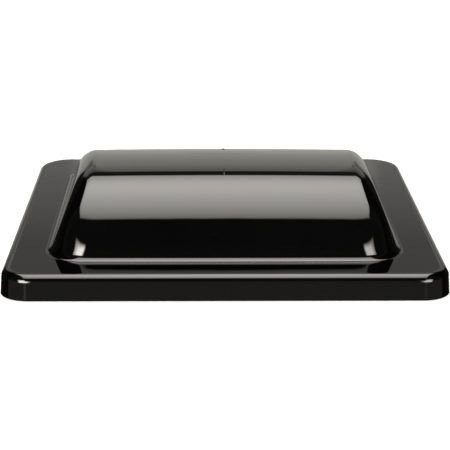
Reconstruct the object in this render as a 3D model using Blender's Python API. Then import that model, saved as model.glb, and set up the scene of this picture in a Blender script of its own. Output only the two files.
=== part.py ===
# Roof vent lid with its hinge, lift rail, slider and seal.  Metres, +Z up, front at -Y, hinge at +Y.
import bpy
import bmesh
import numpy as np
from math import radians, degrees, sin, cos, pi

MM = 0.001
GAP = 0.3 * MM                 # clearance between touching pieces

# lid shell
LID_W = 400.0 * MM             # outside width and depth at the skirt bottom
FLANGE_Z = 22.73 * MM          # flange top above the skirt bottom
DRAFT = 1.8 * MM               # how far the skirt leans in over its height
CORNER_FRONT = 26.9 * MM       # plan corner radius at the front
CORNER_REAR = 34.3 * MM        # and at the rear
EDGE_R = 6.4 * MM              # rounding between skirt and flange, lower part
EDGE_TOP_R = 7.6 * MM          # and its softer upper part
EDGE_TURN = 40.0               # where one changes to the other
WALL = 2.6 * MM
DOME_H = 65.4 * MM             # dome peak above the flange
FRONT_DEG = 70.5               # slope of the dome's front wall at its foot
PEAK_Y = -69.5 * MM
FRONT_R = 87.0 * MM            # big front rounding
SHOULDER_R = 115.0 * MM        # flatter rounding between it and the peak
SHOULDER_DEG = 8.0
TOP_R = 450.0 * MM             # long slope towards the hinge
TOP_DEG = 20.0                 # slope where the rear rounding starts
REAR_R = 40.0 * MM
REAR_Y = 156.4 * MM            # dome foot at the rear
REAR_BLEND_Y = 20.0 * MM       # where the side rounding starts to widen towards the rear
SIDE_X = 159.5 * MM            # dome foot at the sides
SIDE_DEG = 21.0                # lean of the side walls from vertical
BLEND_TOP = 13.0 * MM          # rounding between the top and the side walls
BLEND_WALL = 30.0 * MM         # rounding of the dome's upright corners
FILLET = 4.5 * MM              # dome to flange
CROWN = 0.7 / 113.0 ** 2 / MM  # slight crown across the top
CORNER_SEG, SIDE_SEG, EDGE_SEG, DOME_SEG = 7, 7, 6, 23
BEND_LENGTH = 24.0 * MM        # extra mesh rings where the dome bends

# moulded screw bosses under the dome, and the gate nub
RAIL_Y = -62.0 * MM
BOSS_X, BOSS_DY = 85.0 * MM, 18.5 * MM
BOSS_R, BOSS_BORE = 4.5 * MM, 1.9 * MM
BOSS_Z = 79.1 * MM
NUB_X, NUB_Y, NUB_R, NUB_UP = 0.9 * MM, 34.0 * MM, 1.3 * MM, 0.9 * MM

# lift rail
RAIL_L = 220.0 * MM
RAIL_HALF, RAIL_WALL = 13.0 * MM, 2.0 * MM
RAIL_TOP, RAIL_H = 78.8 * MM, 12.0 * MM
RAIL_LIP = 5.5 * MM
RAIL_FLANGE, RAIL_FLANGE_T = 23.8 * MM, 1.8 * MM

# slider, pivot and link
BLOCK_L = 40.0 * MM
TRAVEL = 75.0 * MM
PIVOT_Z = 58.0 * MM
LUG_HALF, LUG_R = 5.2 * MM, 8.0 * MM
PIN_R = 2.5 * MM
LINK_T = 2.2 * MM
LINK_Z = 38.0 * MM

# hinge
HINGE_Y, HINGE_Z = 192.5 * MM, 6.0 * MM
HINGE_L, KNUCKLES = 300.0 * MM, 11
KNUCKLE_R, KNUCKLE_BORE, HINGE_PIN_R = 3.0 * MM, 1.5 * MM, 1.2 * MM
LEAF_T = 1.2 * MM
RIVET_Z = 13.2 * MM
RIVET_X = (-136.0 * MM, -68.0 * MM, 0.0, 68.0 * MM, 136.0 * MM)

# foam seal
SEAL_IN, SEAL_OUT = 170.0 * MM, 184.0 * MM
SEAL_TOP, SEAL_T = 19.8 * MM, 6.0 * MM

for o in list(bpy.data.objects):
    bpy.data.objects.remove(o, do_unlink=True)


def material(name, rgb, rough, metal=0.0):
    m = bpy.data.materials.new(name)
    m.use_nodes = True
    b = m.node_tree.nodes["Principled BSDF"]
    b.inputs["Base Color"].default_value = (rgb[0], rgb[1], rgb[2], 1.0)
    b.inputs["Roughness"].default_value = rough
    b.inputs["Metallic"].default_value = metal
    m.diffuse_color = (rgb[0], rgb[1], rgb[2], 1.0)
    return m


def smooth(o, angle=35.0):
    o.data.shade_smooth()
    o.data.set_sharp_from_angle(angle=radians(angle))


def new_object(name, bm, mat, angle=35.0):
    bmesh.ops.recalc_face_normals(bm, faces=bm.faces)
    me = bpy.data.meshes.new(name)
    bm.to_mesh(me)
    bm.free()
    o = bpy.data.objects.new(name, me)
    bpy.context.scene.collection.objects.link(o)
    if mat:
        me.materials.append(mat)
    smooth(o, angle)
    return o


def boolean(o, cutter, op):
    m = o.modifiers.new(cutter.name, "BOOLEAN")
    m.operation = op
    m.solver = "EXACT"
    m.object = cutter
    cutter.hide_render = True
    cutter.display_type = "WIRE"


def add_box(bm, lo, hi):
    v = [bm.verts.new((x, y, z)) for z in (lo[2], hi[2]) for y in (lo[1], hi[1]) for x in (lo[0], hi[0])]
    for f in ((0, 2, 3, 1), (4, 5, 7, 6), (0, 1, 5, 4), (2, 6, 7, 3), (0, 4, 6, 2), (1, 3, 7, 5)):
        bm.faces.new([v[i] for i in f])


def place(axis, a, r, t, c):
    """point at height a along axis, radius r, angle t, about centre c"""
    if axis == "X":
        return (a, c[0] + r * cos(t), c[1] + r * sin(t))
    if axis == "Y":
        return (c[0] + r * sin(t), a, c[1] + r * cos(t))
    return (c[0] + r * cos(t), c[1] + r * sin(t), a)


def add_lathe(bm, axis, profile, centre, seg=20):
    """profile: (height along axis, radius) from one end to the other; radius 0 closes an end"""
    rows = []
    for a, r in profile:
        if r < 1e-9:
            rows.append([bm.verts.new(place(axis, a, 0.0, 0.0, centre))])
        else:
            rows.append([bm.verts.new(place(axis, a, r, 2 * pi * i / seg, centre)) for i in range(seg)])
    for p, q in zip(rows, rows[1:]):
        for i in range(seg):
            j = (i + 1) % seg
            if len(p) == 1:
                bm.faces.new((p[0], q[i], q[j]))
            elif len(q) == 1:
                bm.faces.new((p[i], q[0], p[j]))
            else:
                bm.faces.new((p[i], q[i], q[j], p[j]))
    if len(rows[0]) > 1 and len(rows[-1]) > 1 and profile[0] == profile[-1]:
        bmesh.ops.remove_doubles(bm, verts=rows[0] + rows[-1], dist=1e-7)


def add_ring(bm, axis, a0, a1, r0, r1, centre, seg=20):
    add_lathe(bm, axis, [(a0, r0), (a0, r1), (a1, r1), (a1, r0), (a0, r0)], centre, seg)


def add_prism(bm, pts, axis, a0, a1):
    """pts: outline in the two other axes (Y,Z for X; X,Z for Y; X,Y for Z)"""
    def at(p, a):
        if axis == "X":
            return (a, p[0], p[1])
        if axis == "Y":
            return (p[0], a, p[1])
        return (p[0], p[1], a)
    lo = [bm.verts.new(at(p, a0)) for p in pts]
    hi = [bm.verts.new(at(p, a1)) for p in pts]
    bm.faces.new(lo)
    bm.faces.new(list(reversed(hi)))
    n = len(pts)
    for i in range(n):
        j = (i + 1) % n
        bm.faces.new((lo[i], lo[j], hi[j], hi[i]))


# ---------------------------------------------------------------- dome shape
PEAK = np.array([PEAK_Y, DOME_H])
A_FRONT, A_TOP, A_SHOULDER = radians(FRONT_DEG), radians(TOP_DEG), radians(SHOULDER_DEG)
C_SHOULDER = PEAK - np.array([0.0, SHOULDER_R])
C_FRONT = C_SHOULDER + (SHOULDER_R - FRONT_R) * np.array([-sin(A_SHOULDER), cos(A_SHOULDER)])
C_TOP = PEAK - np.array([0.0, TOP_R])
C_REAR = C_TOP + (TOP_R - REAR_R) * np.array([sin(A_TOP), cos(A_TOP)])


def rear_angle():
    lo, hi = A_TOP + 0.02, radians(80.0)
    for _ in range(60):
        m = 0.5 * (lo + hi)
        if C_REAR[0] + (REAR_R + C_REAR[1] * cos(m)) / sin(m) > REAR_Y:
            lo = m
        else:
            hi = m
    return 0.5 * (lo + hi)


A_REAR = rear_angle()


def profile_distance(y, z):
    """signed distance to the fore-and-aft outline, and how upright that outline is there"""
    nf = np.array([-sin(A_FRONT), cos(A_FRONT)])
    ns = np.array([-sin(A_SHOULDER), cos(A_SHOULDER)])
    nb = np.array([sin(A_TOP), cos(A_TOP)])
    nr = np.array([sin(A_REAR), cos(A_REAR)])
    fy, fz = y - C_FRONT[0], z - C_FRONT[1]
    ry, rz = y - C_REAR[0], z - C_REAR[1]
    d_wall = fy * nf[0] + fz * nf[1] - FRONT_R
    d_front = np.hypot(fy, fz) - FRONT_R
    d_shoulder = np.hypot(y - C_SHOULDER[0], z - C_SHOULDER[1]) - SHOULDER_R
    d_top = np.hypot(y - C_TOP[0], z - C_TOP[1]) - TOP_R
    d_rear = np.hypot(ry, rz) - REAR_R
    d_back = ry * nr[0] + rz * nr[1] - REAR_R
    s1 = fy * nf[1] - fz * nf[0]
    s2 = fy * ns[1] - fz * ns[0]
    ahead = y < PEAK_Y
    s3 = ry * nb[1] - rz * nb[0]
    s4 = ry * nr[1] - rz * nr[0]
    d = np.where(ahead, np.where(s1 < 0, d_wall, np.where(s2 < 0, d_front, d_shoulder)),
                 np.where(s3 < 0, d_top, np.where(s4 < 0, d_rear, d_back)))
    up_f = np.clip(np.arctan2(-fy, np.maximum(fz, 1e-6)), 0, A_FRONT) / A_FRONT
    up_r = np.clip((y - REAR_BLEND_Y) / (REAR_Y - REAR_BLEND_Y), 0, 1)
    return d, np.where(ahead, up_f, up_r)


def dome_distance(x, y, z):
    dp, up = profile_distance(y, z + CROWN * x * x)
    a = radians(SIDE_DEG)
    ds = (np.abs(x) - SIDE_X) * cos(a) + z * sin(a)
    t = np.clip((up - 0.55) / 0.45, 0, 1)
    r = BLEND_TOP + (BLEND_WALL - BLEND_TOP) * t * t * (3 - 2 * t)
    p, q = dp + r, ds + r
    d = np.minimum(np.maximum(p, q), 0) + np.hypot(np.maximum(p, 0), np.maximum(q, 0)) - r
    u, v = np.maximum(FILLET - d, 0), np.maximum(FILLET - z, 0)
    return np.maximum(FILLET, np.minimum(d, z)) - np.hypot(u, v)


def dome_height(x, y):
    lo = np.full(np.shape(x), -0.001)
    hi = np.full(np.shape(x), DOME_H + 0.005)
    for _ in range(40):
        m = 0.5 * (lo + hi)
        out = dome_distance(x, y, m) > 0
        hi = np.where(out, m, hi)
        lo = np.where(out, lo, m)
    z = 0.5 * (lo + hi)
    return np.where(z < 1e-7, 0.0, z)


def edge_steps(n):
    """inset and rise of each step up the rounding from skirt to flange"""
    out = []
    for k in range(1, n + 1):
        a = radians(90.0 * k / n)
        b = min(a, radians(EDGE_TURN))
        out.append((EDGE_R * (1 - cos(b)) + EDGE_TOP_R * (cos(b) - cos(a)),
                    EDGE_R * sin(b) + EDGE_TOP_R * (sin(a) - sin(b))))
    return out


def path_length(xy, z):
    """length along each row of points, with bends counted as extra length"""
    d = np.sqrt((np.diff(xy, axis=1) ** 2).sum(2))
    dz = np.diff(z, axis=1)
    turn = np.abs(np.diff(np.arctan2(dz, d), axis=1, prepend=0.0))
    step = np.hypot(d, dz) + BEND_LENGTH * np.minimum(turn, 0.2)
    return np.concatenate([np.zeros((len(xy), 1)), np.cumsum(step, 1)], 1)


def rounded_square(half_x, half_y, r_front, r_rear):
    pts = []
    cs = ((1, 1, 0.0), (-1, 1, 90.0), (-1, -1, 180.0), (1, -1, 270.0))
    for k in range(4):
        sx, sy, a0 = cs[k]
        r = r_rear if sy > 0 else r_front
        cx, cy = sx * (half_x - r), sy * (half_y - r)
        for i in range(CORNER_SEG + 1):
            a = radians(a0 + 90.0 * i / CORNER_SEG)
            pts.append((cx + r * cos(a), cy + r * sin(a)))
        nx, ny, a2 = cs[(k + 1) % 4]
        q = r_rear if ny > 0 else r_front
        e = (nx * (half_x - q) + q * cos(radians(a2)), ny * (half_y - q) + q * sin(radians(a2)))
        s = pts[-1]
        for i in range(1, SIDE_SEG):
            t = i / SIDE_SEG
            pts.append((s[0] + (e[0] - s[0]) * t, s[1] + (e[1] - s[1]) * t))
    return np.array(pts)


def skin():
    """rings of points from the skirt bottom up to the middle of the dome"""
    half = LID_W / 2
    rings = []

    def flat(h, z):
        p = rounded_square(h, h, CORNER_FRONT - (half - h), CORNER_REAR - (half - h))
        rings.append(np.column_stack([p, np.full(len(p), z)]))
    z0 = FLANGE_Z - edge_steps(1)[0][1]
    for i in range(3):
        z = z0 * i / 2
        flat(half - DRAFT * z / FLANGE_Z, z)
    h0 = half - DRAFT * z0 / FLANGE_Z
    for inset, rise in edge_steps(EDGE_SEG):
        flat(h0 - inset, z0 + rise)
    outer = rings[-1][:, :2]
    inner = rounded_square(70 * MM, 22 * MM, 18 * MM, 18 * MM) + np.array([0.0, -20 * MM])
    s = np.linspace(0, 1, 500)
    xy = outer[:, None, :] + (inner - outer)[:, None, :] * s[None, :, None]
    z = dome_height(xy[..., 0], xy[..., 1])
    run = path_length(xy, z)
    for k in range(1, DOME_SEG + 1):
        t = np.array([np.interp(k / DOME_SEG * run[j, -1], run[j], s) for j in range(len(outer))])
        p = outer + (inner - outer) * t[:, None]
        rings.append(np.column_stack([p, dome_height(p[:, 0], p[:, 1]) + FLANGE_Z]))
    last = rings[-1][:, :2]
    for t in (0.35, 0.7):
        p = last.copy()
        p[:, 1] = -20 * MM + (last[:, 1] + 20 * MM) * (1 - t)
        p[:, 0] = last[:, 0] * (1 - 0.35 * t)
        rings.append(np.column_stack([p, dome_height(p[:, 0], p[:, 1]) + FLANGE_Z]))
    return np.array(rings)


def offset_in(rings, t):
    """the same rings moved inwards by t"""
    du = np.gradient(rings, axis=0)
    dv = np.roll(rings, -1, axis=1) - np.roll(rings, 1, axis=1)
    n = np.cross(dv, du)
    n /= np.maximum(np.linalg.norm(n, axis=2, keepdims=True), 1e-12)
    n[0, :, 2] = 0.0
    n[0] /= np.linalg.norm(n[0], axis=1, keepdims=True)
    return rings - n * t


def shell_mesh(bm):
    out = skin()
    ins = offset_in(out, WALL)
    k, m, _ = out.shape
    vo = [[bm.verts.new(p) for p in ring] for ring in out]
    vi = [[bm.verts.new(p) for p in ring] for ring in ins]
    for a in range(k - 1):
        for j in range(m):
            n = (j + 1) % m
            bm.faces.new((vo[a][j], vo[a][n], vo[a + 1][n], vo[a + 1][j]))
            bm.faces.new((vi[a][j], vi[a + 1][j], vi[a + 1][n], vi[a][n]))
    for j in range(m):
        n = (j + 1) % m
        bm.faces.new((vo[0][j], vi[0][j], vi[0][n], vo[0][n]))
    bm.faces.new(vo[-1])
    bm.faces.new(list(reversed(vi[-1])))


# ---------------------------------------------------------------- materials
M_LID = material("lid_black_gloss", (0.012, 0.012, 0.013), 0.12)
M_FOAM = material("seal_foam", (0.035, 0.035, 0.037), 0.95)
M_ZINC = material("zinc_steel", (0.62, 0.62, 0.60), 0.35, 1.0)
M_ZINC_B = material("zinc_steel_leaf", (0.60, 0.60, 0.58), 0.38, 1.0)
M_ZINC_C = material("zinc_steel_link", (0.58, 0.58, 0.57), 0.34, 1.0)
M_PIN = material("bright_steel", (0.66, 0.66, 0.66), 0.22, 1.0)
M_PIN_B = material("bright_steel_pivot", (0.64, 0.64, 0.65), 0.24, 1.0)
M_SPRING = material("spring_steel", (0.30, 0.30, 0.32), 0.35, 1.0)
M_RIVET = material("rivet_aluminium", (0.80, 0.80, 0.81), 0.30, 1.0)
M_WASHER = material("washer_steel", (0.60, 0.60, 0.58), 0.32, 1.0)
M_WASHER_B = material("rail_washer_steel", (0.60, 0.60, 0.58), 0.32, 1.0)
M_RAIL = material("rail_aluminium", (0.78, 0.78, 0.79), 0.32, 1.0)
M_SCREW = material("screw_steel", (0.64, 0.64, 0.62), 0.28, 1.0)
M_STOP = material("stop_black_plastic", (0.03, 0.03, 0.032), 0.5)
M_NYLON = material("nylon_white", (0.82, 0.81, 0.77), 0.45)
M_CAP = material("cap_black_plastic", (0.03, 0.03, 0.03), 0.45)

# ---------------------------------------------------------------- lid shell
bm = bmesh.new()
shell_mesh(bm)
lid = new_object("lid_shell", bm, M_LID, 40.0)

bm = bmesh.new()
for sx in (-1, 1):
    for sy in (-1, 1):
        x, y = sx * BOSS_X, RAIL_Y + sy * BOSS_DY
        top = float(dome_height(np.array([x]), np.array([y]))[0]) + FLANGE_Z - 1.3 * MM
        add_lathe(bm, "Z", [(BOSS_Z + 5.0 * MM, 0.0), (BOSS_Z + 5.0 * MM, BOSS_BORE), (BOSS_Z, BOSS_BORE),
                            (BOSS_Z, BOSS_R), (top, BOSS_R), (top, 0.0)], (x, y), 16)
bosses = new_object("boss_tool", bm, None)
boolean(lid, bosses, "UNION")

bm = bmesh.new()
top = float(dome_height(np.array([NUB_X]), np.array([NUB_Y]))[0]) + FLANGE_Z
add_lathe(bm, "Z", [(top - 1.0 * MM, 0.0), (top - 1.0 * MM, NUB_R), (top + NUB_UP, NUB_R * 0.8), (top + NUB_UP, 0.0)],
          (NUB_X, NUB_Y), 12)
nub = new_object("nub_tool", bm, None)
boolean(lid, nub, "UNION")

bm = bmesh.new()
for x in RIVET_X:
    add_lathe(bm, "Y", [(193.0 * MM, 0.0), (193.0 * MM, 1.9 * MM), (203.0 * MM, 1.9 * MM), (203.0 * MM, 0.0)], (x, RIVET_Z), 16)
holes = new_object("rivet_hole_tool", bm, None)
boolean(lid, holes, "DIFFERENCE")

# ---------------------------------------------------------------- foam seal, four butted strips
for name, lo, hi in (("seal_front", (-SEAL_OUT, -SEAL_OUT), (SEAL_OUT, -SEAL_IN)),
                     ("seal_rear", (-SEAL_OUT, SEAL_IN), (SEAL_OUT, SEAL_OUT)),
                     ("seal_left", (-SEAL_OUT, -SEAL_IN + GAP), (-SEAL_IN, SEAL_IN - GAP)),
                     ("seal_right", (SEAL_IN, -SEAL_IN + GAP), (SEAL_OUT, SEAL_IN - GAP))):
    bm = bmesh.new()
    add_box(bm, (lo[0], lo[1], SEAL_TOP - SEAL_T), (hi[0], hi[1], SEAL_TOP))
    new_object(name, bm, M_FOAM)

# ---------------------------------------------------------------- hinge
seg_l = HINGE_L / KNUCKLES
lid_plate_y = HINGE_Y + KNUCKLE_R - LEAF_T
base_plate_y = HINGE_Y - KNUCKLE_R
LEAF_TOP_LID, LEAF_TOP_BASE = 17.0 * MM, 15.0 * MM
PLATE_Z = HINGE_Z + KNUCKLE_R + 0.4 * MM


def leaf(name, mat, y0, z1, odd, hole_x, hole_z, hole_r):
    bm = bmesh.new()
    add_box(bm, (-HINGE_L / 2, y0, PLATE_Z), (HINGE_L / 2, y0 + LEAF_T, z1))
    o = new_object(name, bm, mat)
    bm = bmesh.new()
    bk = bmesh.new()
    for k in range(KNUCKLES):
        if k % 2 != odd:
            continue
        a0 = -HINGE_L / 2 + k * seg_l + (0.0 if k == 0 else GAP / 2)
        a1 = -HINGE_L / 2 + (k + 1) * seg_l - (0.0 if k == KNUCKLES - 1 else GAP / 2)
        add_box(bm, (a0, y0, HINGE_Z), (a1, y0 + LEAF_T, PLATE_Z + 0.5 * MM))
        add_lathe(bk, "X", [(a0, 0.0), (a0, KNUCKLE_R), (a1, KNUCKLE_R), (a1, 0.0)], (HINGE_Y, HINGE_Z), 20)
    boolean(o, new_object(name + "_tabs_tool", bm, None), "UNION")
    boolean(o, new_object(name + "_knuckles_tool", bk, None), "UNION")
    bm = bmesh.new()
    r = HINGE_L / 2 + 5 * MM
    add_lathe(bm, "X", [(-r, 0.0), (-r, KNUCKLE_BORE), (r, KNUCKLE_BORE), (r, 0.0)], (HINGE_Y, HINGE_Z), 20)
    for x in hole_x:
        add_lathe(bm, "Y", [(y0 - 1 * MM, 0.0), (y0 - 1 * MM, hole_r), (y0 + LEAF_T + 1 * MM, hole_r),
                            (y0 + LEAF_T + 1 * MM, 0.0)], (x, hole_z), 16)
    boolean(o, new_object(name + "_holes_tool", bm, None), "DIFFERENCE")
    return o


leaf("hinge_leaf_lid", M_ZINC, lid_plate_y, LEAF_TOP_LID, 0, RIVET_X, RIVET_Z, 1.9 * MM)
base_leaf = leaf("hinge_leaf_base", M_ZINC_B, base_plate_y, LEAF_TOP_BASE, 1,
                 (-102.0 * MM, -34.0 * MM, 34.0 * MM, 102.0 * MM), 12.2 * MM, 1.5 * MM)

bm = bmesh.new()
e = HINGE_L / 2 + 3.0 * MM
add_lathe(bm, "X", [(-e, 0.0), (-e, 0.9 * MM), (-e + 0.4 * MM, HINGE_PIN_R), (e - 0.4 * MM, HINGE_PIN_R), (e, 0.9 * MM), (e, 0.0)],
          (HINGE_Y, HINGE_Z), 20)
new_object("hinge_pin", bm, M_PIN)

for name, s in (("hinge_pin_cap_left", -1), ("hinge_pin_cap_right", 1)):
    bm = bmesh.new()
    a0, a1, a2 = s * (HINGE_L / 2 + GAP), s * (HINGE_L / 2 + 3.0 * MM + GAP), s * (HINGE_L / 2 + 4.5 * MM)
    add_lathe(bm, "X", [(a1, 0.0), (a1, HINGE_PIN_R + GAP), (a0, HINGE_PIN_R + GAP), (a0, 2.8 * MM), (a2 - s * 0.6 * MM, 2.8 * MM),
                        (a2, 2.2 * MM), (a2, 0.0)], (HINGE_Y, HINGE_Z), 20)
    new_object(name, bm, M_CAP)

# rivets: flat head outside the rear skirt, formed tail inside, over a washer
skirt_out = LID_W / 2 - DRAFT * (RIVET_Z - 3.2 * MM) / FLANGE_Z
for k, x in enumerate(RIVET_X):
    bm = bmesh.new()
    bw = bmesh.new()
    head0, head1 = skirt_out + GAP - 0.25 * MM, LID_W / 2
    wash0, wash1 = lid_plate_y - GAP - 1.0 * MM, lid_plate_y - GAP
    tail0, tail1 = wash0 - GAP - 1.3 * MM, wash0 - GAP
    add_lathe(bm, "Y", [(tail0, 0.0), (tail0, 1.8 * MM), (tail0 + 0.5 * MM, 2.8 * MM), (tail1, 2.8 * MM), (tail1, 1.6 * MM),
                        (head0, 1.6 * MM), (head0, 3.2 * MM), (head1 - 0.3 * MM, 2.8 * MM), (head1, 1.6 * MM), (head1, 0.0)],
              (x, RIVET_Z), 16)
    add_ring(bw, "Y", wash0, wash1, 1.9 * MM, 3.4 * MM, (x, RIVET_Z), 16)
    new_object("hinge_rivet_%d" % (k + 1), bm, M_RIVET)
    new_object("hinge_rivet_washer_%d" % (k + 1), bw, M_WASHER)

# ---------------------------------------------------------------- lift rail and its fixings
z1, z0 = RAIL_TOP, RAIL_TOP - RAIL_H
prof = [(-RAIL_FLANGE, z1), (RAIL_FLANGE, z1), (RAIL_FLANGE, z1 - RAIL_FLANGE_T), (RAIL_HALF, z1 - RAIL_FLANGE_T), (RAIL_HALF, z0),
        (RAIL_LIP, z0), (RAIL_LIP, z0 + RAIL_WALL), (RAIL_HALF - RAIL_WALL, z0 + RAIL_WALL),
        (RAIL_HALF - RAIL_WALL, z1 - RAIL_FLANGE_T), (-RAIL_HALF + RAIL_WALL, z1 - RAIL_FLANGE_T),
        (-RAIL_HALF + RAIL_WALL, z0 + RAIL_WALL), (-RAIL_LIP, z0 + RAIL_WALL), (-RAIL_LIP, z0), (-RAIL_HALF, z0),
        (-RAIL_HALF, z1 - RAIL_FLANGE_T), (-RAIL_FLANGE, z1 - RAIL_FLANGE_T)]
bm = bmesh.new()
add_prism(bm, [(RAIL_Y + y, z) for y, z in prof], "X", -RAIL_L / 2, RAIL_L / 2)
rail = new_object("lift_rail", bm, M_RAIL)
bm = bmesh.new()
for sx in (-1, 1):
    for sy in (-1, 1):
        c = (sx * BOSS_X, RAIL_Y + sy * BOSS_DY)
        add_lathe(bm, "Z", [(z1 - 5 * MM, 0.0), (z1 - 5 * MM, 1.9 * MM), (z1 + 3 * MM, 1.9 * MM), (z1 + 3 * MM, 0.0)], c, 16)
boolean(rail, new_object("rail_hole_tool", bm, None), "DIFFERENCE")

under = z1 - RAIL_FLANGE_T
n = 0
for sx in (-1, 1):
    for sy in (-1, 1):
        n += 1
        bm = bmesh.new()
        bw = bmesh.new()
        c = (sx * BOSS_X, RAIL_Y + sy * BOSS_DY)
        w1, w0 = under - GAP, under - GAP - 0.8 * MM
        h1 = w0 - GAP
        add_lathe(bm, "Z", [(h1 - 1.4 * MM, 0.0), (h1 - 1.4 * MM, 1.2 * MM), (h1 - 2.3 * MM, 1.2 * MM), (h1 - 2.3 * MM, 2.6 * MM),
                            (h1 - 1.6 * MM, 3.4 * MM), (h1, 3.6 * MM), (h1, 1.6 * MM), (BOSS_Z + 3.8 * MM, 1.6 * MM),
                            (BOSS_Z + 4.6 * MM, 0.6 * MM), (BOSS_Z + 4.6 * MM, 0.0)], c, 16)
        add_ring(bw, "Z", w0, w1, 1.9 * MM, 4.4 * MM, c, 16)
        new_object("rail_screw_%d" % n, bm, M_SCREW)
        new_object("rail_washer_%d" % n, bw, M_WASHER_B)

inner = RAIL_HALF - RAIL_WALL - GAP
for name, s in (("rail_end_stop_left", -1), ("rail_end_stop_right", 1)):
    bm = bmesh.new()
    xa, xb = sorted((s * (RAIL_L / 2 - 10 * MM), s * (RAIL_L / 2 + 1.0 * MM)))
    add_box(bm, (xa, RAIL_Y - inner, z0 + RAIL_WALL + GAP), (xb, RAIL_Y + inner, under - GAP))
    o = new_object(name, bm, M_STOP)
    bm = bmesh.new()
    xa, xb = sorted((s * (RAIL_L / 2 + GAP), s * (RAIL_L / 2 + 2.3 * MM)))
    add_box(bm, (xa, RAIL_Y - RAIL_HALF, z0), (xb, RAIL_Y + RAIL_HALF, z1))
    boolean(o, new_object(name + "_cap_tool", bm, None), "UNION")

# ---------------------------------------------------------------- slide block with its hanging lug
bm = bmesh.new()
add_box(bm, (-BLOCK_L / 2, RAIL_Y - inner, z0 + RAIL_WALL + GAP), (BLOCK_L / 2, RAIL_Y + inner, under - GAP))
block = new_object("slide_block", bm, M_NYLON)
lug = [(LUG_R, z0 + 4 * MM), (LUG_R, PIVOT_Z)]
lug += [(LUG_R * cos(radians(-a)), PIVOT_Z + LUG_R * sin(radians(-a))) for a in range(15, 180, 15)]
lug += [(-LUG_R, PIVOT_Z), (-LUG_R, z0 + 4 * MM)]
bm = bmesh.new()
add_prism(bm, lug, "Y", RAIL_Y - LUG_HALF, RAIL_Y + LUG_HALF)
boolean(block, new_object("lug_tool", bm, None), "UNION")
bm = bmesh.new()
add_lathe(bm, "Y", [(RAIL_Y - 9 * MM, 0.0), (RAIL_Y - 9 * MM, PIN_R + GAP), (RAIL_Y + 9 * MM, PIN_R + GAP), (RAIL_Y + 9 * MM, 0.0)],
          (0.0, PIVOT_Z), 20)
boolean(block, new_object("lug_bore_tool", bm, None), "DIFFERENCE")

# ---------------------------------------------------------------- link: two ears and a foot the lift arm bolts to
ear0 = LUG_HALF + GAP
ear1 = ear0 + LINK_T
ear = [(7.0 * MM, LINK_Z), (7.0 * MM, PIVOT_Z)]
ear += [(7.0 * MM * cos(radians(a)), PIVOT_Z + 7.0 * MM * sin(radians(a))) for a in range(15, 180, 15)]
ear += [(-7.0 * MM, PIVOT_Z), (-7.0 * MM, LINK_Z)]
bm = bmesh.new()
add_box(bm, (-22 * MM, RAIL_Y - ear1, LINK_Z), (22 * MM, RAIL_Y + ear1, LINK_Z + LINK_T))
link = new_object("lift_link", bm, M_ZINC_C)
bm = bmesh.new()
add_prism(bm, ear, "Y", RAIL_Y - ear1, RAIL_Y - ear0)
add_prism(bm, ear, "Y", RAIL_Y + ear0, RAIL_Y + ear1)
boolean(link, new_object("link_ears_tool", bm, None), "UNION")
bm = bmesh.new()
add_lathe(bm, "Y", [(RAIL_Y - 12 * MM, 0.0), (RAIL_Y - 12 * MM, PIN_R + GAP), (RAIL_Y + 12 * MM, PIN_R + GAP), (RAIL_Y + 12 * MM, 0.0)],
          (0.0, PIVOT_Z), 20)
for s in (-1, 1):
    add_lathe(bm, "Z", [(LINK_Z - 2 * MM, 0.0), (LINK_Z - 2 * MM, 2.6 * MM), (LINK_Z + 5 * MM, 2.6 * MM), (LINK_Z + 5 * MM, 0.0)],
              (s * 15 * MM, RAIL_Y), 16)
boolean(link, new_object("link_holes_tool", bm, None), "DIFFERENCE")

# pivot pin: head at the front, clip groove at the rear
f, r = RAIL_Y - ear1 - GAP, RAIL_Y + ear1 + GAP
bm = bmesh.new()
add_lathe(bm, "Y", [(f - 1.5 * MM, 0.0), (f - 1.5 * MM, 3.6 * MM), (f - 1.2 * MM, 4.0 * MM), (f, 4.0 * MM), (f, PIN_R), (r, PIN_R), (r, 1.9 * MM),
                    (r + 1.4 * MM, 1.9 * MM), (r + 1.4 * MM, PIN_R), (r + 2.5 * MM, PIN_R), (r + 2.9 * MM, 2.1 * MM), (r + 2.9 * MM, 0.0)],
          (0.0, PIVOT_Z), 20)
new_object("pivot_pin", bm, M_PIN_B)

arc = [radians(a) for a in range(-60, 241, 15)]
pts = [(4.6 * MM * cos(a), PIVOT_Z + 4.6 * MM * sin(a)) for a in arc] + [(2.2 * MM * cos(a), PIVOT_Z + 2.2 * MM * sin(a)) for a in reversed(arc)]
bm = bmesh.new()
add_prism(bm, pts, "Y", r + GAP, r + 1.1 * MM)
new_object("pivot_pin_clip", bm, M_SPRING)

# ---------------------------------------------------------------- origins of the moving pieces on their joint axes
def set_origin(o, pos):
    tools = [m.object for m in o.modifiers if m.type == "BOOLEAN"]
    for v in o.data.vertices:
        v.co = (v.co[0] - pos[0], v.co[1] - pos[1], v.co[2] - pos[2])
    o.location = pos
    return tools


set_origin(base_leaf, (0.0, HINGE_Y, HINGE_Z))
set_origin(link, (0.0, RAIL_Y, PIVOT_Z))
set_origin(block, (0.0, RAIL_Y, PIVOT_Z))
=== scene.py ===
# Looks of the roof vent lid: fine surfaces, materials, studio light and camera.
import bpy
import bmesh
import numpy as np
from math import radians, sin, cos, pi
from mathutils import Matrix, Vector


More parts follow.
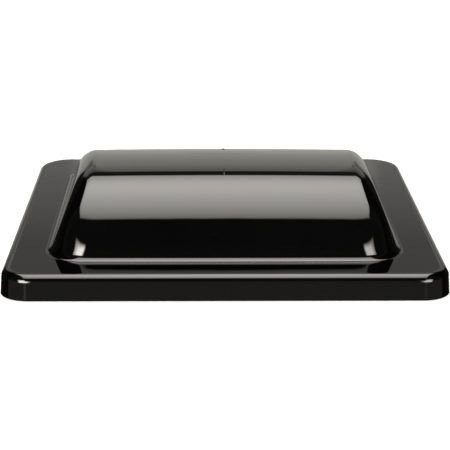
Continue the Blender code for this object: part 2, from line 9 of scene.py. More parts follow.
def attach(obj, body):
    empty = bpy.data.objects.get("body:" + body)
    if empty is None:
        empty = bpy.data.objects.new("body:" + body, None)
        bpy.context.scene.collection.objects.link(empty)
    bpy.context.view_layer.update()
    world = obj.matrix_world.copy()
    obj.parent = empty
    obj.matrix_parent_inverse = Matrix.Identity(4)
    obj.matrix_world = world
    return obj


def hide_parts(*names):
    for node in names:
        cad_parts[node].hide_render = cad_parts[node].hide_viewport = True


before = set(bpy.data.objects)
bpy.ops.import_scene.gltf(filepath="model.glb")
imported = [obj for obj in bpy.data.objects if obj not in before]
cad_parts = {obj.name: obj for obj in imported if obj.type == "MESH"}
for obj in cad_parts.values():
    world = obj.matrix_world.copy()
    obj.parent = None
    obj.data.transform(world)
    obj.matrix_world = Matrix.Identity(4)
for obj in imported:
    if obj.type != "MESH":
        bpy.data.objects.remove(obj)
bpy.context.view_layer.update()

S = bpy.context.scene
MM = 0.001
GAP = 0.3 * MM
# lid shell
LID_W = 400.0 * MM             # outside width and depth at the skirt bottom
FLANGE_Z = 22.73 * MM          # flange top above the skirt bottom
DRAFT = 1.8 * MM               # how far the skirt leans in over its height
CORNER_FRONT = 26.9 * MM       # plan corner radius at the front
CORNER_REAR = 34.3 * MM        # and at the rear
EDGE_R = 6.4 * MM              # rounding between skirt and flange, lower part
EDGE_TOP_R = 7.6 * MM          # and its softer upper part
EDGE_TURN = 40.0               # where one changes to the other
WALL = 2.6 * MM
DOME_H = 65.4 * MM             # dome peak above the flange
FRONT_DEG = 70.5               # slope of the dome's front wall at its foot
PEAK_Y = -69.5 * MM
FRONT_R = 87.0 * MM            # big front rounding
SHOULDER_R = 115.0 * MM        # flatter rounding between it and the peak
SHOULDER_DEG = 8.0
TOP_R = 450.0 * MM             # long slope towards the hinge
TOP_DEG = 20.0                 # slope where the rear rounding starts
REAR_R = 40.0 * MM
REAR_Y = 156.4 * MM            # dome foot at the rear
REAR_BLEND_Y = 20.0 * MM       # where the side rounding starts to widen towards the rear
SIDE_X = 159.5 * MM            # dome foot at the sides
SIDE_DEG = 21.0                # lean of the side walls from vertical
BLEND_TOP = 13.0 * MM          # rounding between the top and the side walls
BLEND_WALL = 30.0 * MM         # rounding of the dome's upright corners
FILLET = 4.5 * MM              # dome to flange
CROWN = 0.7 / 113.0 ** 2 / MM  # slight crown across the top
CORNER_SEG, SIDE_SEG, EDGE_SEG, DOME_SEG = 7, 7, 6, 23
BEND_LENGTH = 24.0 * MM        # extra mesh rings where the dome bends

# moulded screw bosses under the dome, and the gate nub
RAIL_Y = -62.0 * MM
BOSS_X, BOSS_DY = 85.0 * MM, 18.5 * MM
BOSS_R, BOSS_BORE = 4.5 * MM, 1.9 * MM
BOSS_Z = 79.1 * MM
NUB_X, NUB_Y, NUB_R, NUB_UP = 0.9 * MM, 34.0 * MM, 1.3 * MM, 0.9 * MM

# lift rail
RAIL_L = 220.0 * MM
RAIL_HALF, RAIL_WALL = 13.0 * MM, 2.0 * MM
RAIL_TOP, RAIL_H = 78.8 * MM, 12.0 * MM
RAIL_LIP = 5.5 * MM
RAIL_FLANGE, RAIL_FLANGE_T = 23.8 * MM, 1.8 * MM

# slider, pivot and link
BLOCK_L = 40.0 * MM
TRAVEL = 75.0 * MM
PIVOT_Z = 58.0 * MM
LUG_HALF, LUG_R = 5.2 * MM, 8.0 * MM
PIN_R = 2.5 * MM
LINK_T = 2.2 * MM
LINK_Z = 38.0 * MM

# hinge
HINGE_Y, HINGE_Z = 192.5 * MM, 6.0 * MM
HINGE_L, KNUCKLES = 300.0 * MM, 11
KNUCKLE_R, KNUCKLE_BORE, HINGE_PIN_R = 3.0 * MM, 1.5 * MM, 1.2 * MM
LEAF_T = 1.2 * MM
RIVET_Z = 13.2 * MM
RIVET_X = (-136.0 * MM, -68.0 * MM, 0.0, 68.0 * MM, 136.0 * MM)

# foam seal
SEAL_IN, SEAL_OUT = 170.0 * MM, 184.0 * MM
SEAL_TOP, SEAL_T = 19.8 * MM, 6.0 * MM

# ---------------------------------------------------------------- dome shape
PEAK = np.array([PEAK_Y, DOME_H])
A_FRONT, A_TOP, A_SHOULDER = radians(FRONT_DEG), radians(TOP_DEG), radians(SHOULDER_DEG)
C_SHOULDER = PEAK - np.array([0.0, SHOULDER_R])
C_FRONT = C_SHOULDER + (SHOULDER_R - FRONT_R) * np.array([-sin(A_SHOULDER), cos(A_SHOULDER)])
C_TOP = PEAK - np.array([0.0, TOP_R])
C_REAR = C_TOP + (TOP_R - REAR_R) * np.array([sin(A_TOP), cos(A_TOP)])


def rear_angle():
    lo, hi = A_TOP + 0.02, radians(80.0)
    for _ in range(60):
        m = 0.5 * (lo + hi)
        if C_REAR[0] + (REAR_R + C_REAR[1] * cos(m)) / sin(m) > REAR_Y:
            lo = m
        else:
            hi = m
    return 0.5 * (lo + hi)


A_REAR = rear_angle()


def profile_distance(y, z):
    """signed distance to the fore-and-aft outline, and how upright that outline is there"""
    nf = np.array([-sin(A_FRONT), cos(A_FRONT)])
    ns = np.array([-sin(A_SHOULDER), cos(A_SHOULDER)])
    nb = np.array([sin(A_TOP), cos(A_TOP)])
    nr = np.array([sin(A_REAR), cos(A_REAR)])
    fy, fz = y - C_FRONT[0], z - C_FRONT[1]
    ry, rz = y - C_REAR[0], z - C_REAR[1]
    d_wall = fy * nf[0] + fz * nf[1] - FRONT_R
    d_front = np.hypot(fy, fz) - FRONT_R
    d_shoulder = np.hypot(y - C_SHOULDER[0], z - C_SHOULDER[1]) - SHOULDER_R
    d_top = np.hypot(y - C_TOP[0], z - C_TOP[1]) - TOP_R
    d_rear = np.hypot(ry, rz) - REAR_R
    d_back = ry * nr[0] + rz * nr[1] - REAR_R
    s1 = fy * nf[1] - fz * nf[0]
    s2 = fy * ns[1] - fz * ns[0]
    ahead = y < PEAK_Y
    s3 = ry * nb[1] - rz * nb[0]
    s4 = ry * nr[1] - rz * nr[0]
    d = np.where(ahead, np.where(s1 < 0, d_wall, np.where(s2 < 0, d_front, d_shoulder)),
                 np.where(s3 < 0, d_top, np.where(s4 < 0, d_rear, d_back)))
    up_f = np.clip(np.arctan2(-fy, np.maximum(fz, 1e-6)), 0, A_FRONT) / A_FRONT
    up_r = np.clip((y - REAR_BLEND_Y) / (REAR_Y - REAR_BLEND_Y), 0, 1)
    return d, np.where(ahead, up_f, up_r)


def dome_distance(x, y, z):
    dp, up = profile_distance(y, z + CROWN * x * x)
    a = radians(SIDE_DEG)
    ds = (np.abs(x) - SIDE_X) * cos(a) + z * sin(a)
    t = np.clip((up - 0.55) / 0.45, 0, 1)
    r = BLEND_TOP + (BLEND_WALL - BLEND_TOP) * t * t * (3 - 2 * t)
    p, q = dp + r, ds + r
    d = np.minimum(np.maximum(p, q), 0) + np.hypot(np.maximum(p, 0), np.maximum(q, 0)) - r
    u, v = np.maximum(FILLET - d, 0), np.maximum(FILLET - z, 0)
    return np.maximum(FILLET, np.minimum(d, z)) - np.hypot(u, v)


def dome_height(x, y):
    lo = np.full(np.shape(x), -0.001)
    hi = np.full(np.shape(x), DOME_H + 0.005)
    for _ in range(40):
        m = 0.5 * (lo + hi)
        out = dome_distance(x, y, m) > 0
        hi = np.where(out, m, hi)
        lo = np.where(out, lo, m)
    z = 0.5 * (lo + hi)
    return np.where(z < 1e-7, 0.0, z)


def edge_steps(n):
    """inset and rise of each step up the rounding from skirt to flange"""
    out = []
    for k in range(1, n + 1):
        a = radians(90.0 * k / n)
        b = min(a, radians(EDGE_TURN))
        out.append((EDGE_R * (1 - cos(b)) + EDGE_TOP_R * (cos(b) - cos(a)),
                    EDGE_R * sin(b) + EDGE_TOP_R * (sin(a) - sin(b))))
    return out


def path_length(xy, z):
    """length along each row of points, with bends counted as extra length"""
    d = np.sqrt((np.diff(xy, axis=1) ** 2).sum(2))
    dz = np.diff(z, axis=1)
    turn = np.abs(np.diff(np.arctan2(dz, d), axis=1, prepend=0.0))
    step = np.hypot(d, dz) + BEND_LENGTH * np.minimum(turn, 0.2)
    return np.concatenate([np.zeros((len(xy), 1)), np.cumsum(step, 1)], 1)


# ---------------------------------------------------------------- fine lid shell
CORNER_N, SIDE_N, EDGE_N, DOME_N = 28, 44, 18, 170


def ring_xy(hx, hy, r_front, r_rear, cy0=0.0):
    """points round a rounded rectangle, counter-clockwise from the right end of the right-rear corner"""
    pts = []
    cs = ((1, 1, 0.0), (-1, 1, 90.0), (-1, -1, 180.0), (1, -1, 270.0))
    for k in range(4):
        sx, sy, a0 = cs[k]
        r = r_rear if sy > 0 else r_front
        cx, cy = sx * (hx - r), sy * (hy - r)
        for i in range(CORNER_N + 1):
            a = radians(a0 + 90.0 * i / CORNER_N)
            pts.append((cx + r * cos(a), cy + r * sin(a) + cy0))
        nx, ny, a2 = cs[(k + 1) % 4]
        w = r_rear if ny > 0 else r_front
        e = (nx * (hx - w) + w * cos(radians(a2)), ny * (hy - w) + w * sin(radians(a2)) + cy0)
        s = pts[-1]
        for i in range(1, SIDE_N):
            t = i / SIDE_N
            pts.append((s[0] + (e[0] - s[0]) * t, s[1] + (e[1] - s[1]) * t))
    return np.array(pts)


def grow(p, centre, t):
    return centre + (p - centre) * t


def skin_rings():
    half = LID_W / 2
    rings = []

    def flat(h, z):
        p = ring_xy(h, h, CORNER_FRONT - (half - h), CORNER_REAR - (half - h))
        rings.append(np.column_stack([p, np.full(len(p), z)]))
    z0 = FLANGE_Z - edge_steps(1)[0][1]
    flat(half, 0.0)
    flat(half - 0.02 * MM, 0.35 * MM)
    for i in range(1, 8):
        z = z0 * i / 7
        flat(half - DRAFT * z / FLANGE_Z, z)
    h0 = half - DRAFT * z0 / FLANGE_Z
    for inset, rise in edge_steps(EDGE_N):
        flat(h0 - inset, z0 + rise)
    outer = rings[-1][:, :2]
    inner = ring_xy(70 * MM, 22 * MM, 18 * MM, 18 * MM, -20 * MM)
    s = np.linspace(0, 1, 900)
    xy = outer[:, None, :] + (inner - outer)[:, None, :] * s[None, :, None]
    z = dome_height(xy[..., 0], xy[..., 1])
    run = path_length(xy, z)
    for k in range(1, DOME_N + 1):
        t = np.array([np.interp(k / DOME_N * run[j, -1], run[j], s) for j in range(len(outer))])
        p = outer + (inner - outer) * t[:, None]
        rings.append(np.column_stack([p, dome_height(p[:, 0], p[:, 1]) + FLANGE_Z]))
    last = rings[-1][:, :2]
    for k in range(1, 13):
        t = k / 12.6
        p = last.copy()
        p[:, 1] = -20 * MM + (last[:, 1] + 20 * MM) * (1 - t)
        p[:, 0] = last[:, 0] * (1 - 0.35 * t)
        rings.append(np.column_stack([p, dome_height(p[:, 0], p[:, 1]) + FLANGE_Z]))
    return np.array(rings)


def ring_normals(r):
    du = np.gradient(r, axis=0)
    dv = np.roll(r, -1, axis=1) - np.roll(r, 1, axis=1)
    n = np.cross(dv, du)
    n /= np.maximum(np.linalg.norm(n, axis=2, keepdims=True), 1e-12)
    n[0, :, 2] = 0.0
    n[0] /= np.linalg.norm(n[0], axis=1, keepdims=True)
    return n


def mesh_object(name, verts, faces, mat, angle=40.0):
    me = bpy.data.meshes.new(name)
    me.from_pydata([tuple(v) for v in verts], [], faces)
    me.validate()
    me.update()
    o = bpy.data.objects.new(name, me)
    S.collection.objects.link(o)
    me.materials.append(mat)
    me.shade_smooth()
    me.set_sharp_from_angle(angle=radians(angle))
    return o


# ---------------------------------------------------------------- node helpers
def new_mat(name):
    m = bpy.data.materials.new(name)
    m.use_nodes = True
    nt = m.node_tree
    return m, nt, nt.nodes["Principled BSDF"]


def coords(nt, scale=(1, 1, 1)):
    t = nt.nodes.new("ShaderNodeTexCoord")
    mp = nt.nodes.new("ShaderNodeMapping")
    mp.inputs["Scale"].default_value = scale
    nt.links.new(t.outputs["Object"], mp.inputs["Vector"])
    return mp.outputs["Vector"]


def noise(nt, vec, scale, detail=2.0, rough=0.5):
    n = nt.nodes.new("ShaderNodeTexNoise")
    n.inputs["Scale"].default_value = scale
    n.inputs["Detail"].default_value = detail
    n.inputs["Roughness"].default_value = rough
    nt.links.new(vec, n.inputs["Vector"])
    return n.outputs["Fac"]


def ramp(nt, fac, stops):
    r = nt.nodes.new("ShaderNodeValToRGB")
    e = r.color_ramp.elements
    while len(e) < len(stops):
        e.new(0.5)
    for el, (p, c) in zip(e, stops):
        el.position = p
        el.color = (c[0], c[1], c[2], 1.0) if hasattr(c, "__len__") else (c, c, c, 1.0)
    nt.links.new(fac, r.inputs["Fac"])
    return r.outputs["Color"]


def bump(nt, height, strength, dist, normal=None):
    b = nt.nodes.new("ShaderNodeBump")
    b.inputs["Strength"].default_value = strength
    b.inputs["Distance"].default_value = dist
    nt.links.new(height, b.inputs["Height"])
    if normal is not None:
        nt.links.new(normal, b.inputs["Normal"])
    return b.outputs["Normal"]


def mix(nt, a, b, fac):
    m = nt.nodes.new("ShaderNodeMix")
    m.data_type = "RGBA"
    for s, v in ((m.inputs[6], a), (m.inputs[7], b), (m.inputs[0], fac)):
        if isinstance(v, (int, float)):
            s.default_value = v
        elif isinstance(v, tuple):
            s.default_value = (v[0], v[1], v[2], 1.0)
        else:
            nt.links.new(v, s)
    return m.outputs[2]


# ---------------------------------------------------------------- materials
def gloss_plastic(name, base, rough_lo, rough_hi):
    m, nt, b = new_mat(name)
    v = coords(nt)
    cloud = noise(nt, v, 14.0, 3.0)
    speck = noise(nt, v, 900.0, 2.0)
    b.inputs["IOR"].default_value = 1.5
    col = ramp(nt, cloud, ((0.35, tuple(c * 0.85 for c in base)), (0.7, tuple(c * 1.2 for c in base))))
    dust = ramp(nt, speck, ((0.75, 0.0), (0.79, 1.0)))
    col = mix(nt, col, (0.012, 0.012, 0.0115), dust)
    nt.links.new(col, b.inputs["Base Color"])
    r = ramp(nt, noise(nt, v, 30.0, 4.0, 0.6), ((0.3, rough_lo), (0.75, rough_hi)))
    nt.links.new(r, b.inputs["Roughness"])
    peel = noise(nt, v, 55.0, 1.5, 0.4)
    n1 = bump(nt, peel, 0.05, 0.0006)
    nt.links.new(n1, b.inputs["Normal"])
    return m


def matte_plastic(name, base, rough, grain=2600.0, depth=0.25):
    m, nt, b = new_mat(name)
    v = coords(nt)
    col = ramp(nt, noise(nt, v, 120.0, 3.0), ((0.3, tuple(c * 0.8 for c in base)), (0.7, tuple(min(1, c * 1.15) for c in base))))
    nt.links.new(col, b.inputs["Base Color"])
    b.inputs["IOR"].default_value = 1.49
    nt.links.new(ramp(nt, noise(nt, v, 300.0, 2.0), ((0.3, rough - 0.06), (0.7, rough + 0.06))), b.inputs["Roughness"])
    nt.links.new(bump(nt, noise(nt, v, grain, 2.0), depth, 0.0001), b.inputs["Normal"])
    return m


def metal(name, base, rough, stretch=(1, 1, 1), scale=900.0, spangle=0.0):
    m, nt, b = new_mat(name)
    v = coords(nt, stretch)
    w = coords(nt)
    streak = noise(nt, v, scale, 3.0, 0.6)
    col = ramp(nt, noise(nt, w, 90.0, 3.0), ((0.3, tuple(c * 0.82 for c in base)), (0.7, base)))
    if spangle > 0:
        vo = nt.nodes.new("ShaderNodeTexVoronoi")
        vo.inputs["Scale"].default_value = 260.0
        nt.links.new(w, vo.inputs["Vector"])
        sp = ramp(nt, vo.outputs["Color"], ((0.0, 1.0 - spangle), (1.0, 1.0)))
        mm = nt.nodes.new("ShaderNodeMix")
        mm.data_type = "RGBA"
        mm.blend_type = "MULTIPLY"
        mm.inputs[0].default_value = 1.0
        nt.links.new(col, mm.inputs[6])
        nt.links.new(sp, mm.inputs[7])
        col = mm.outputs[2]
    nt.links.new(col, b.inputs["Base Color"])
    b.inputs["Metallic"].default_value = 1.0
    nt.links.new(ramp(nt, streak, ((0.25, rough - 0.07), (0.75, rough + 0.1))), b.inputs["Roughness"])
    nt.links.new(bump(nt, streak, 0.12, 0.00008), b.inputs["Normal"])
    return m


def foam(name, base):
    m, nt, b = new_mat(name)
    v = coords(nt)
    vo = nt.nodes.new("ShaderNodeTexVoronoi")
    vo.inputs["Scale"].default_value = 1100.0
    nt.links.new(v, vo.inputs["Vector"])
    cell = ramp(nt, vo.outputs["Distance"], ((0.05, 0.25), (0.5, 1.0)))
    col = mix(nt, tuple(c * 0.35 for c in base), tuple(c * 1.3 for c in base), cell)
    nt.links.new(col, b.inputs["Base Color"])
    nt.links.new(ramp(nt, noise(nt, v, 200.0, 2.0), ((0.3, 0.88), (0.7, 0.98))), b.inputs["Roughness"])
    b.inputs["Sheen Weight"].default_value = 0.15
    nt.links.new(bump(nt, vo.outputs["Distance"], 0.55, 0.0004), b.inputs["Normal"])
    return m


M_LID = gloss_plastic("lid_gloss_black", (0.0006, 0.0006, 0.00064), 0.02, 0.045)
M_SCUFF = gloss_plastic("lid_scuffed_black", (0.004, 0.004, 0.0041), 0.30, 0.42)
M_FOAM = foam("seal_foam_black", (0.035, 0.035, 0.037))
M_ZINC = metal("zinc_sheet", (0.72, 0.73, 0.72), 0.34, (1, 1, 1), 500.0, 0.25)
M_ZINC_L = metal("zinc_sheet_link", (0.68, 0.69, 0.70), 0.32, (1, 1, 1), 500.0, 0.22)
M_STEEL = metal("bright_steel", (0.70, 0.70, 0.71), 0.22, (1, 1, 1), 1400.0)
M_SPRING = metal("spring_steel", (0.22, 0.22, 0.25), 0.36, (1, 1, 1), 1200.0)
M_RAIL = metal("rail_aluminium", (0.82, 0.83, 0.84), 0.30, (0.02, 1, 1), 2600.0)
M_RIVET = metal("rivet_aluminium", (0.84, 0.84, 0.85), 0.28, (1, 1, 1), 1500.0)
M_STOP = matte_plastic("stop_black", (0.02, 0.02, 0.021), 0.5)
M_NYLON = matte_plastic("nylon_natural", (0.78, 0.77, 0.71), 0.42, 1800.0, 0.12)

# ---------------------------------------------------------------- the shell itself
out = skin_rings()
ins = out - ring_normals(out) * WALL
K, Mn, _ = out.shape
verts = np.concatenate([out.reshape(-1, 3), ins.reshape(-1, 3)])
faces = []
B = K * Mn
for a in range(K - 1):
    for j in range(Mn):
        n = (j + 1) % Mn
        faces.append((a * Mn + j, a * Mn + n, (a + 1) * Mn + n, (a + 1) * Mn + j))
        faces.append((B + a * Mn + j, B + (a + 1) * Mn + j, B + (a + 1) * Mn + n, B + a * Mn + n))
for j in range(Mn):
    n = (j + 1) % Mn
    faces.append((j, B + j, B + n, n))
faces.append(tuple((K - 1) * Mn + j for j in range(Mn)))
faces.append(tuple(B + (K - 1) * Mn + j for j in reversed(range(Mn))))
lid = mesh_object("lid_shell_surface", verts, faces, M_LID, 50.0)
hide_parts("lid_shell")
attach(lid, "lid")

# ---------------------------------------------------------------- moulded bosses under the dome
for k, (sx, sy) in enumerate(((-1, -1), (-1, 1), (1, -1), (1, 1))):
    x, y = sx * BOSS_X, RAIL_Y + sy * BOSS_DY
    top = float(dome_height(np.array([x]), np.array([y]))[0]) + FLANGE_Z - 1.3 * MM
    prof = [(0.0, BOSS_Z + 5 * MM), (BOSS_BORE, BOSS_Z + 5 * MM), (BOSS_BORE, BOSS_Z + 0.3 * MM), (BOSS_BORE + 0.3 * MM, BOSS_Z),
            (BOSS_R - 0.4 * MM, BOSS_Z), (BOSS_R, BOSS_Z + 0.4 * MM), (BOSS_R + 0.05 * MM, top - 4 * MM)]
    prof += [(BOSS_R + 0.05 * MM + 2.0 * MM * (1 - cos(radians(15 * i))), top - 4 * MM + 2.0 * MM * sin(radians(15 * i))) for i in range(1, 7)]
    prof += [(BOSS_R + 2.05 * MM, top)]
    vs, fs, seg = [], [], 40
    for r, z in prof:
        vs += [(x + r * cos(2 * pi * i / seg), y + r * sin(2 * pi * i / seg), z) for i in range(seg)]
    for a in range(len(prof) - 1):
        for i in range(seg):
            n = (i + 1) % seg
            fs.append((a * seg + i, a * seg + n, (a + 1) * seg + n, (a + 1) * seg + i))
    o = mesh_object("lid_boss_%d" % (k + 1), vs, fs, M_LID, 40.0)
    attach(o, "lid")

# ---------------------------------------------------------------- gate nub on the dome, and the fine flow line running forward from it
def top_z(x, y):
    return dome_height(np.asarray(x, float), np.asarray(y, float)) + FLANGE_Z


def flow_ridge(name, y0, y1, width, height, mat, steps):
    ys = np.linspace(y0, y1, steps)
    across = np.array([-0.5, -0.42, -0.28, -0.12, 0.0, 0.12, 0.28, 0.42, 0.5])
    lift = np.array([-0.3, 0.15, 0.6, 0.93, 1.0, 0.93, 0.6, 0.15, -0.3])
    vs, fs, n = [], [], len(across)
    for i, y in enumerate(ys):
        t = i / (steps - 1)
        end = min(1.0, t * 12, (1 - t) * 12)
        x = NUB_X - (1.0 * MM) * (NUB_Y - y) / (NUB_Y + 88 * MM)
        xs = x + across * width * (0.4 + 0.6 * end)
        zs = top_z(xs, np.full(n, y)) + lift * height * end
        vs += [(xs[q], y, zs[q]) for q in range(n)]
    for i in range(steps - 1):
        for q in range(n - 1):
            fs.append((i * n + q, (i + 1) * n + q, (i + 1) * n + q + 1, i * n + q + 1))
    o = mesh_object(name, vs, fs, mat, 80.0)
    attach(o, "lid")


flow_ridge("lid_flow_line", NUB_Y - 11 * MM, -81.5 * MM, 0.55 * MM, 0.012 * MM, M_LID, 160)
flow_ridge("lid_flow_mark", -80.5 * MM, -91.0 * MM, 1.2 * MM, 0.5 * MM, M_LID, 40)
flow_ridge("lid_flow_scuff", -90.0 * MM, -98.0 * MM, 1.2 * MM, 0.10 * MM, M_SCUFF, 40)
NUB_SEEN_Y = NUB_Y - 11 * MM
top = float(top_z(NUB_X, NUB_SEEN_Y))
prof = [(NUB_R, top - 0.6 * MM), (NUB_R * 0.96, top + NUB_UP * 0.4), (NUB_R * 0.84, top + NUB_UP * 0.75),
        (NUB_R * 0.6, top + NUB_UP * 0.93), (NUB_R * 0.3, top + NUB_UP * 0.86), (0.02 * MM, top + NUB_UP * 0.82)]
vs = [(NUB_X + r * cos(2 * pi * i / 32), NUB_SEEN_Y + r * sin(2 * pi * i / 32), z) for r, z in prof for i in range(32)]
fs = [(a * 32 + i, a * 32 + (i + 1) % 32, (a + 1) * 32 + (i + 1) % 32, (a + 1) * 32 + i) for a in range(5) for i in range(32)]
nub = mesh_object("lid_gate_nub", vs, fs, M_LID, 60.0)
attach(nub, "lid")


# ---------------------------------------------------------------- foam seal: four crowned strips
def foam_strip(name, lo, hi, along_x):
    if along_x:
        a0, a1, c0, c1 = lo[0], hi[0], lo[1], hi[1]
    else:
        a0, a1, c0, c1 = lo[1], hi[1], lo[0], hi[0]
    mid, half, low = (c0 + c1) / 2, (c1 - c0) / 2, SEAL_TOP - SEAL_T
    sec = []
    for i in range(21):                       # crowned underside with rounded edges
        u = -1 + 2 * i / 20
        sec.append((u * (1 - 0.02 * abs(u) ** 8), 0.45 * MM * u * u + 0.75 * MM * abs(u) ** 14))
    sec += [(1.0, 2.0 * MM), (0.985, 3.6 * MM), (0.985, 5.0 * MM), (1.0, SEAL_T)]
    sec += [(u, SEAL_T) for u in (0.5, 0.0, -0.5)]
    sec += [(-1.0, SEAL_T), (-0.985, 5.0 * MM), (-0.985, 3.6 * MM), (-1.0, 2.0 * MM)]
    n, steps, vs, fs = len(sec), 150, [], []
    for k in range(steps + 1):
        t = k / steps
        end = min(1.0, min(t, 1 - t) * (a1 - a0) / (0.8 * MM))
        pull = 1 - 0.04 * (1 - end) ** 2
        sway = 0.06 * MM * sin(37 * t + 1.3) * sin(pi * t)
        dip = 0.05 * MM * (1 + sin(53 * t))
        for u, h in sec:
            c = min(max(mid + u * half * pull * 0.99 + sway, c0), c1)
            z = low + dip * (1 - h / SEAL_T) + h + (0.35 * MM * (1 - end) if h < 1.5 * MM else 0)
            a = a0 + (a1 - a0) * t
            vs.append((a, c, z) if along_x else (c, a, z))
    for k in range(steps):
        for i in range(n):
            j = (i + 1) % n
            fs.append((k * n + i, k * n + j, (k + 1) * n + j, (k + 1) * n + i))
    fs.append(tuple(reversed(range(n))))
    fs.append(tuple(steps * n + i for i in range(n)))
    o = mesh_object(name + "_strip", vs, fs, M_FOAM, 50.0)
    bm = bmesh.new()
    bm.from_mesh(o.data)
    bmesh.ops.recalc_face_normals(bm, faces=bm.faces)
    bm.to_mesh(o.data)
    bm.free()
    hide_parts(name)
    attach(o, "lid")


foam_strip("seal_front", (-SEAL_OUT, -SEAL_OUT), (SEAL_OUT, -SEAL_IN), True)
foam_strip("seal_rear", (-SEAL_OUT, SEAL_IN), (SEAL_OUT, SEAL_OUT), True)
foam_strip("seal_left", (-SEAL_OUT, -SEAL_IN + GAP), (-SEAL_IN, SEAL_IN - GAP), False)
foam_strip("seal_right", (SEAL_IN, -SEAL_IN + GAP), (SEAL_OUT, SEAL_IN - GAP), False)

# ---------------------------------------------------------------- carried-over pieces get their finishes
FINISH = {"hinge_leaf_lid": M_ZINC, "hinge_leaf_base": M_ZINC, "hinge_pin": M_STEEL, "hinge_pin_cap_left": M_STOP,
          "hinge_pin_cap_right": M_STOP, "lift_rail": M_RAIL, "rail_end_stop_left": M_STOP, "rail_end_stop_right": M_STOP,
          "slide_block": M_NYLON, "pivot_pin": M_STEEL, "pivot_pin_clip": M_SPRING, "lift_link": M_ZINC_L}
for name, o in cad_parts.items():
    if name == "lid_shell" or name.startswith("seal_"):
        continue
    m = FINISH.get(name)
    if m is None:
        m = M_RIVET if name.startswith("hinge_rivet_") and "washer" not in name else M_STEEL
    for s in o.material_slots:
        s.material = m

# ---------------------------------------------------------------- floor
me = bpy.data.meshes.new("floor")
q = 12.0
me.from_pydata([(-q, -q, -0.0002), (q, -q, -0.0002), (q, q, -0.0002), (-q, q, -0.0002)], [], [(0, 1, 2, 3)])
floor = bpy.data.objects.new("floor", me)
S.collection.objects.link(floor)
m, nt, b = new_mat("floor_pale")
b.inputs["Base Color"].default_value = (0.8, 0.8, 0.8, 1.0)
b.inputs["Roughness"].default_value = 0.9
b.inputs["Specular IOR Level"].default_value = 0.0
me.materials.append(m)
floor.visible_glossy = False

# ---------------------------------------------------------------- studio surround
W = bpy.data.worlds.new("studio")
S.world = W
W.use_nodes = True
nt = W.node_tree
for n in list(nt.nodes):
    nt.nodes.remove(n)
tc = nt.nodes.new("ShaderNodeTexCoord")
sep = nt.nodes.new("ShaderNodeSeparateXYZ")
nt.links.new(tc.outputs["Generated"], sep.inputs[0])
X, Y, Z = sep.outputs


def mth(op, a, b=None, clamp=False):
    n = nt.nodes.new("ShaderNodeMath")
    n.operation = op
    n.use_clamp = clamp
    for s, v in zip(n.inputs, (a, b)):
        if v is None:
            continue
        if isinstance(v, (int, float)):
            s.default_value = v
        else:
            nt.links.new(v, s)
    return n.outputs[0]


def step_up(v, a, b):
    """0 below a, 1 above b, smooth between"""
    n = nt.nodes.new("ShaderNodeMapRange")
    n.interpolation_type = "SMOOTHSTEP"
    n.inputs["From Min"].default_value = a
    n.inputs["From Max"].default_value = b
    n.inputs["To Min"].default_value = 0.0
    n.inputs["To Max"].default_value = 1.0
    nt.links.new(v, n.inputs["Value"])
    return n.outputs["Result"]


def curve(v, pts, lo, hi):
    """piecewise-linear function of v over [lo, hi]"""
    t = nt.nodes.new("ShaderNodeMapRange")
    t.inputs["From Min"].default_value = lo
    t.inputs["From Max"].default_value = hi
    nt.links.new(v, t.inputs["Value"])
    out_ = None
    r = nt.nodes.new("ShaderNodeValToRGB")
    e = r.color_ramp.elements
    while len(e) < len(pts):
        e.new(0.5)
    top_ = max(p[1] for p in pts)
    for el, (p, c) in zip(e, pts):
        el.position = (p - lo) / (hi - lo)
        el.color = (c / top_, c / top_, c / top_, 1.0)
    nt.links.new(t.outputs["Result"], r.inputs["Fac"])
    return mth("MULTIPLY", r.outputs["Color"], top_)


# angle up from the rear horizon, over the top and down to the front, in degrees
phi = mth("MULTIPLY", mth("ARCTAN2", Z, Y), 180.0 / pi)
back = curve(phi, [(-180, 0.24), (-165, 0.24), (-90, 0.15), (-25, 0.40), (-8, 0.50), (2, 0.58), (8, 0.60), (14, 0.60), (20, 0.64), (26, 0.68), (33.9, 0.66),
                   (35.3, 0.06), (44.8, 0.05), (115.8, 0.05), (119, 0.03), (150, 0.03), (166, 0.06), (174, 0.18), (180, 0.24)], -180.0, 180.0)
far = curve(phi, [(-180, 0.24), (-165, 0.24), (-90, 0.15), (-60, 0.10), (-30, 0.30), (-8, 0.47), (10, 0.56), (13.4, 0.52), (15.3, 0.43), (16.4, 0.37), (18.2, 0.262), (19.5, 0.245), (21, 0.45), (26, 0.50),
                  (33.9, 0.40), (35.3, 0.05), (44.8, 0.05), (115.8, 0.05), (119, 0.03), (150, 0.03), (166, 0.06), (174, 0.18), (180, 0.24)], -180.0, 180.0)
far_out = curve(phi, [(-180, 0.24), (-90, 0.12), (-60, 0.10), (-30, 0.30), (-8, 0.47), (8, 0.54), (20, 0.50), (33.9, 0.40), (35.3, 0.05), (115.8, 0.05), (180, 0.24)], -180.0, 180.0)
top = curve(phi, [(-180, 0.0), (44.8, 0.0), (46.2, 3.0), (51.9, 4.0), (60.3, 6.3), (68, 7.5), (75, 7.9), (82, 7.9), (88, 7.5), (94, 7.0), (100, 6.4),
                  (105.7, 5.5), (111.2, 4.5), (116.2, 3.3), (117.6, 0.0), (180, 0.0)], -180.0, 180.0)
ax = mth("ABSOLUTE", X)
inside = mth("MULTIPLY", mth("SUBTRACT", 1.0, step_up(ax, 0.29, 0.33)), mth("SUBTRACT", 1.0, mth("MULTIPLY", step_up(ax, 0.05, 0.30), 0.18)))
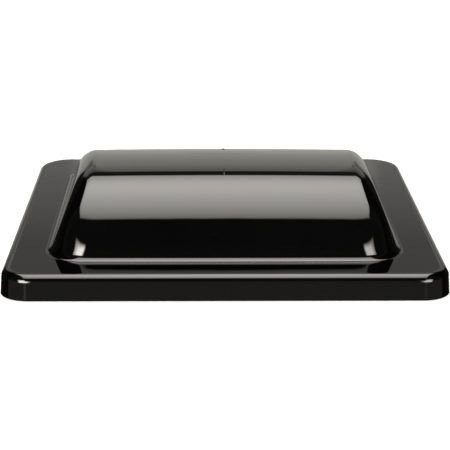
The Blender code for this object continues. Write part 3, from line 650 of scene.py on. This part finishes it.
# the backdrop behind is dimmer to each side, and ends there low down
az = mth("ABSOLUTE", mth("SUBTRACT", mth("DIVIDE", X, mth("MAXIMUM", mth("ABSOLUTE", Y), 0.05)), 0.019))
wide = step_up(az, 0.100, 0.113)
dim = mth("MULTIPLY", mth("MULTIPLY", step_up(az, 0.16, 0.20), mth("MULTIPLY", step_up(phi, 4.0, 8.0), mth("SUBTRACT", 1.0, step_up(phi, 13.0, 17.0)))), 0.5)
edge = step_up(mth("SUBTRACT", az, mth("MULTIPLY", step_up(phi, 13.0, 20.0), 0.11)), 0.34, 0.42)
behind = mth("ADD", mth("MULTIPLY", back, mth("SUBTRACT", 1.0, wide)), mth("MULTIPLY", far, wide))
outer_ = step_up(az, 0.152, 0.172)
behind = mth("ADD", mth("MULTIPLY", behind, mth("SUBTRACT", 1.0, outer_)), mth("MULTIPLY", far_out, outer_))
behind = mth("MULTIPLY", mth("MULTIPLY", behind, mth("SUBTRACT", 1.0, dim)), mth("SUBTRACT", 1.0, mth("MULTIPLY", edge, 0.95)))
rear_ = step_up(Y, -0.02, 0.02)
front_ = mth("MULTIPLY", back, mth("SUBTRACT", 1.0, rear_))
rad_ = mth("ADD", mth("ADD", mth("MULTIPLY", behind, rear_), front_), mth("MULTIPLY", top, inside))
# two softboxes low at the front, one on each side, the left one brighter
turn = mth("MULTIPLY", mth("ARCTAN2", ax, mth("MULTIPLY", Y, -1.0)), 180.0 / pi)
el = mth("MULTIPLY", mth("ARCSINE", Z), 180.0 / pi)
power = mth("SUBTRACT", 20.0, mth("MULTIPLY", step_up(X, -0.02, 0.02), 9.0))
high = step_up(el, 12.0, 18.0)
right_ = step_up(X, -0.02, 0.02)
low_ = mth("MULTIPLY", mth("MULTIPLY", step_up(mth("SUBTRACT", turn, mth("MULTIPLY", right_, 2.2)), 7.4, 9.0), mth("SUBTRACT", 1.0, step_up(turn, 36.0, 45.0))), mth("SUBTRACT", 1.0, high))
up_ = mth("MULTIPLY", mth("MULTIPLY", step_up(turn, 15.0, 21.0), mth("SUBTRACT", 1.0, step_up(turn, 44.0, 49.0))), high)
strip = mth("MULTIPLY", mth("ADD", low_, up_), mth("MULTIPLY", step_up(el, -9.0, -6.0), mth("SUBTRACT", 1.0, step_up(el, 26.0, 31.5))))
strip = mth("MULTIPLY", strip, mth("SUBTRACT", 1.0, mth("MULTIPLY", mth("MULTIPLY", step_up(turn, 33.0, 45.0), high), 0.55)))
glow = mth("MULTIPLY", mth("MULTIPLY", step_up(turn, 12.0, 15.0), mth("SUBTRACT", 1.0, step_up(turn, 19.0, 23.0))),
           mth("SUBTRACT", 1.0, step_up(el, -10.0, -6.0)))
rad_ = mth("ADD", rad_, mth("ADD", mth("MULTIPLY", strip, power), mth("MULTIPLY", glow, mth("SUBTRACT", 0.45, mth("MULTIPLY", right_, 0.28)))))
bg = nt.nodes.new("ShaderNodeBackground")
wo = nt.nodes.new("ShaderNodeOutputWorld")
nt.links.new(rad_, bg.inputs["Strength"])
bg.inputs["Color"].default_value = (1.0, 0.97, 0.91, 1.0)
nt.links.new(bg.outputs[0], wo.inputs["Surface"])

# ---------------------------------------------------------------- camera
CAM = dict(f=1467.77, pitch=0.3079, yaw=0.0191, roll=0.0046, pos=(-0.0242377, -1.4028961, 0.4524081))
fw = Vector((sin(CAM["yaw"]) * cos(CAM["pitch"]), cos(CAM["yaw"]) * cos(CAM["pitch"]), -sin(CAM["pitch"])))
rt = fw.cross(Vector((0, 0, 1))).normalized()
up = rt.cross(fw)
c, s = cos(CAM["roll"]), sin(CAM["roll"])
r2, u2 = c * rt + s * up, -s * rt + c * up
cd = bpy.data.cameras.new("camera")
cd.sensor_width = 36.0
cd.lens = CAM["f"] * 36.0 / 450.0
cd.clip_end = 100.0
co = bpy.data.objects.new("camera", cd)
S.collection.objects.link(co)
co.matrix_world = Matrix(((r2.x, u2.x, -fw.x, CAM["pos"][0]), (r2.y, u2.y, -fw.y, CAM["pos"][1]),
                          (r2.z, u2.z, -fw.z, CAM["pos"][2]), (0, 0, 0, 1)))
S.camera = co
S.view_settings.view_transform = "Standard"
